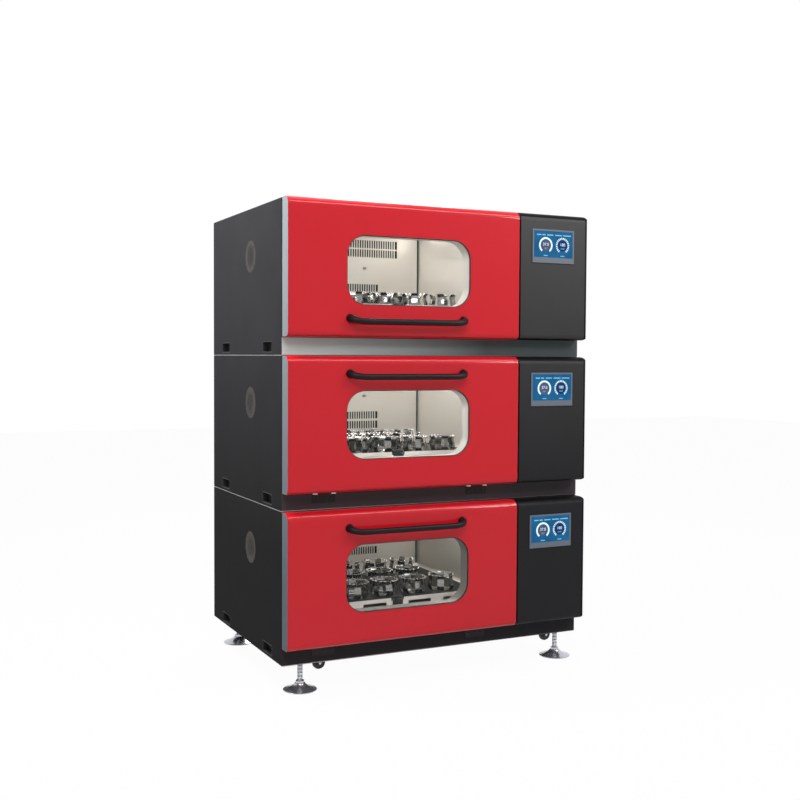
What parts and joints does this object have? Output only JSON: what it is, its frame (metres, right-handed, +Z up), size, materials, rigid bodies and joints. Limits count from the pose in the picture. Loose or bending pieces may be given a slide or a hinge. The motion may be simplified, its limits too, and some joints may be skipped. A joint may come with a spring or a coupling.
{
  "type": "stacked shaking incubator",
  "caption": "Stack of shaking incubators with flap doors, rounded windows, bar handles, touch panels, orbiting flask platforms, levelling feet and castors.",
  "frame": {"origin": "on the floor under the middle of the stack's bounding box", "axes": "+Z up, the door side faces -Y, +X to the right seen from the front"},
  "size_m": [1.25, 0.949, 1.764],
  "materials": {
    "graphite_paint": "satin powder coat",
    "red_paint": "smooth gloss paint",
    "stainless": "brushed",
    "spring_steel": "polished",
    "machined_steel": "machined",
    "motor_housing": "cast, dark",
    "fan_aluminium": "satin",
    "window_glass": "clear",
    "black_bar": "satin",
    "port_steel": "satin",
    "black_rubber": "matte",
    "lamp_diffuser": "frosted",
    "screen_plastic": "gloss",
    "black_plastic": "matte",
    "hinge_steel": "satin",
    "bright_zinc": "bright zinc plate"
  },
  "bodies": {
    "cabinet": {"bottom_cabinet": "graphite_paint", "middle_cabinet": "graphite_paint", "top_cabinet": "graphite_paint", "chamber_liners": "stainless", "air_baffles": "stainless", "access_ports": "port_steel", "port_plugs": "black_rubber", "chamber_lamps": "lamp_diffuser", "control_panels": "graphite_paint", "touchscreens": "screen_plastic", "power_inlets": "black_plastic", "door_hinges": "hinge_steel", "drive_bases": "machined_steel", "drive_motors": "motor_housing", "fan_motors": "motor_housing", "base_fittings": "machined_steel"},
    "bottom_door": {"bottom_door_shell": "red_paint", "bottom_door_liner": "stainless", "bottom_door_glass": "window_glass", "bottom_door_handle": "black_bar"},
    "bottom_crank": {"bottom_main_crank": "machined_steel"},
    "bottom_platform": {"bottom_platform": "stainless", "bottom_flask_clamps": "spring_steel"},
    "bottom_idler_left": {"bottom_idler_left": "machined_steel"},
    "bottom_idler_right": {"bottom_idler_right": "machined_steel"},
    "bottom_fan": {"bottom_fan": "fan_aluminium"},
    "middle_door": {"middle_door_shell": "red_paint", "middle_door_liner": "stainless", "middle_door_glass": "window_glass", "middle_door_handle": "black_bar"},
    "middle_crank": {"middle_main_crank": "machined_steel"},
    "middle_platform": {"middle_platform": "stainless", "middle_flask_clamps": "spring_steel"},
    "middle_idler_left": {"middle_idler_left": "machined_steel"},
    "middle_idler_right": {"middle_idler_right": "machined_steel"},
    "middle_fan": {"middle_fan": "fan_aluminium"},
    "top_door": {"top_door_shell": "red_paint", "top_door_liner": "stainless", "top_door_glass": "window_glass", "top_door_handle": "black_bar"},
    "top_crank": {"top_main_crank": "machined_steel"},
    "top_platform": {"top_platform": "stainless", "top_flask_clamps": "spring_steel"},
    "top_idler_left": {"top_idler_left": "machined_steel"},
    "top_idler_right": {"top_idler_right": "machined_steel"},
    "top_fan": {"top_fan": "fan_aluminium"},
    "foot_front_left": {"foot_front_left": "bright_zinc"},
    "castor_fork_front_left": {"castor_fork_front_left": "black_plastic"},
    "castor_wheel_front_left": {"castor_wheel_front_left": "black_plastic"},
    "foot_front_right": {"foot_front_right": "bright_zinc"},
    "castor_fork_front_right": {"castor_fork_front_right": "black_plastic"},
    "castor_wheel_front_right": {"castor_wheel_front_right": "black_plastic"},
    "foot_back_left": {"foot_back_left": "bright_zinc"},
    "castor_fork_back_left": {"castor_fork_back_left": "black_plastic"},
    "castor_wheel_back_left": {"castor_wheel_back_left": "black_plastic"},
    "foot_back_right": {"foot_back_right": "bright_zinc"},
    "castor_fork_back_right": {"castor_fork_back_right": "black_plastic"},
    "castor_wheel_back_right": {"castor_wheel_back_right": "black_plastic"}
  },
  "joints": [
    {"name": "bottom_door_hinge", "type": "hinge", "parent": "cabinet", "child": "bottom_door", "pos_m": [0, -0.3715, 0.1645], "axis": [1, 0, 0], "range_deg": [0, 90]},
    {"name": "bottom_crank_spin", "type": "hinge", "parent": "cabinet", "child": "bottom_crank", "pos_m": [-0.152, -0.0055, 0.205], "axis": [0, 0, 1], "continuous": true},
    {"name": "bottom_platform_pin", "type": "hinge", "parent": "bottom_crank", "child": "bottom_platform", "pos_m": [-0.139, -0.0055, 0.265], "axis": [0, 0, 1], "continuous": true},
    {"name": "bottom_idler_left_spin", "type": "hinge", "parent": "cabinet", "child": "bottom_idler_left", "pos_m": [-0.392, 0.1445, 0.205], "axis": [0, 0, 1], "continuous": true},
    {"name": "bottom_idler_right_spin", "type": "hinge", "parent": "cabinet", "child": "bottom_idler_right", "pos_m": [0.088, -0.1555, 0.205], "axis": [0, 0, 1], "continuous": true},
    {"name": "bottom_fan_spin", "type": "hinge", "parent": "cabinet", "child": "bottom_fan", "pos_m": [-0.152, 0.3795, 0.475], "axis": [0, 1, 0], "continuous": true},
    {"name": "middle_door_hinge", "type": "hinge", "parent": "cabinet", "child": "middle_door", "pos_m": [0, -0.3715, 0.7175], "axis": [1, 0, 0], "range_deg": [0, 90]},
    {"name": "middle_crank_spin", "type": "hinge", "parent": "cabinet", "child": "middle_crank", "pos_m": [-0.152, -0.0055, 0.758], "axis": [0, 0, 1], "continuous": true},
    {"name": "middle_platform_pin", "type": "hinge", "parent": "middle_crank", "child": "middle_platform", "pos_m": [-0.139, -0.0055, 0.818], "axis": [0, 0, 1], "continuous": true},
    {"name": "middle_idler_left_spin", "type": "hinge", "parent": "cabinet", "child": "middle_idler_left", "pos_m": [-0.392, 0.1445, 0.758], "axis": [0, 0, 1], "continuous": true},
    {"name": "middle_idler_right_spin", "type": "hinge", "parent": "cabinet", "child": "middle_idler_right", "pos_m": [0.088, -0.1555, 0.758], "axis": [0, 0, 1], "continuous": true},
    {"name": "middle_fan_spin", "type": "hinge", "parent": "cabinet", "child": "middle_fan", "pos_m": [-0.152, 0.3795, 1.028], "axis": [0, 1, 0], "continuous": true},
    {"name": "top_door_hinge", "type": "hinge", "parent": "cabinet", "child": "top_door", "pos_m": [0, -0.3687, 1.7605], "axis": [-1, 0, 0], "range_deg": [0, 80]},
    {"name": "top_crank_spin", "type": "hinge", "parent": "cabinet", "child": "top_crank", "pos_m": [-0.152, -0.0055, 1.311], "axis": [0, 0, 1], "continuous": true},
    {"name": "top_platform_pin", "type": "hinge", "parent": "top_crank", "child": "top_platform", "pos_m": [-0.139, -0.0055, 1.371], "axis": [0, 0, 1], "continuous": true},
    {"name": "top_idler_left_spin", "type": "hinge", "parent": "cabinet", "child": "top_idler_left", "pos_m": [-0.392, 0.1445, 1.311], "axis": [0, 0, 1], "continuous": true},
    {"name": "top_idler_right_spin", "type": "hinge", "parent": "cabinet", "child": "top_idler_right", "pos_m": [0.088, -0.1555, 1.311], "axis": [0, 0, 1], "continuous": true},
    {"name": "top_fan_spin", "type": "hinge", "parent": "cabinet", "child": "top_fan", "pos_m": [-0.152, 0.3795, 1.581], "axis": [0, 1, 0], "continuous": true},
    {"name": "foot_front_left_screw", "type": "slide", "parent": "cabinet", "child": "foot_front_left", "axis": [0, 0, 1], "range_m": [-0.015, 0.064]},
    {"name": "castor_front_left_swivel", "type": "hinge", "parent": "cabinet", "child": "castor_fork_front_left", "pos_m": [-0.441, -0.2135, 0.13], "axis": [0, 0, 1], "continuous": true},
    {"name": "castor_front_left_roll", "type": "hinge", "parent": "castor_fork_front_left", "child": "castor_wheel_front_left", "pos_m": [-0.423, -0.2135, 0.06], "axis": [0, 1, 0], "continuous": true},
    {"name": "foot_front_right_screw", "type": "slide", "parent": "cabinet", "child": "foot_front_right", "axis": [0, 0, 1], "range_m": [-0.015, 0.064]},
    {"name": "castor_front_right_swivel", "type": "hinge", "parent": "cabinet", "child": "castor_fork_front_right", "pos_m": [0.565, -0.2135, 0.13], "axis": [0, 0, 1], "continuous": true},
    {"name": "castor_front_right_roll", "type": "hinge", "parent": "castor_fork_front_right", "child": "castor_wheel_front_right", "pos_m": [0.583, -0.2135, 0.06], "axis": [0, 1, 0], "continuous": true},
    {"name": "foot_back_left_screw", "type": "slide", "parent": "cabinet", "child": "foot_back_left", "axis": [0, 0, 1], "range_m": [-0.015, 0.064]},
    {"name": "castor_back_left_swivel", "type": "hinge", "parent": "cabinet", "child": "castor_fork_back_left", "pos_m": [-0.441, 0.3025, 0.13], "axis": [0, 0, 1], "continuous": true},
    {"name": "castor_back_left_roll", "type": "hinge", "parent": "castor_fork_back_left", "child": "castor_wheel_back_left", "pos_m": [-0.423, 0.3025, 0.06], "axis": [0, 1, 0], "continuous": true},
    {"name": "foot_back_right_screw", "type": "slide", "parent": "cabinet", "child": "foot_back_right", "axis": [0, 0, 1], "range_m": [-0.015, 0.064]},
    {"name": "castor_back_right_swivel", "type": "hinge", "parent": "cabinet", "child": "castor_fork_back_right", "pos_m": [0.565, 0.3025, 0.13], "axis": [0, 0, 1], "continuous": true},
    {"name": "castor_back_right_roll", "type": "hinge", "parent": "castor_fork_back_right", "child": "castor_wheel_back_right", "pos_m": [0.583, 0.3025, 0.06], "axis": [0, 1, 0], "continuous": true}
  ],
  "couplings": [
    {"joint": "bottom_platform_pin", "follows": "bottom_crank_spin", "ratio": -1},
    {"joint": "bottom_idler_left_spin", "follows": "bottom_crank_spin", "ratio": 1},
    {"joint": "bottom_idler_right_spin", "follows": "bottom_crank_spin", "ratio": 1},
    {"joint": "middle_platform_pin", "follows": "middle_crank_spin", "ratio": -1},
    {"joint": "middle_idler_left_spin", "follows": "middle_crank_spin", "ratio": 1},
    {"joint": "middle_idler_right_spin", "follows": "middle_crank_spin", "ratio": 1},
    {"joint": "top_platform_pin", "follows": "top_crank_spin", "ratio": -1},
    {"joint": "top_idler_left_spin", "follows": "top_crank_spin", "ratio": 1},
    {"joint": "top_idler_right_spin", "follows": "top_crank_spin", "ratio": 1}
  ]
}
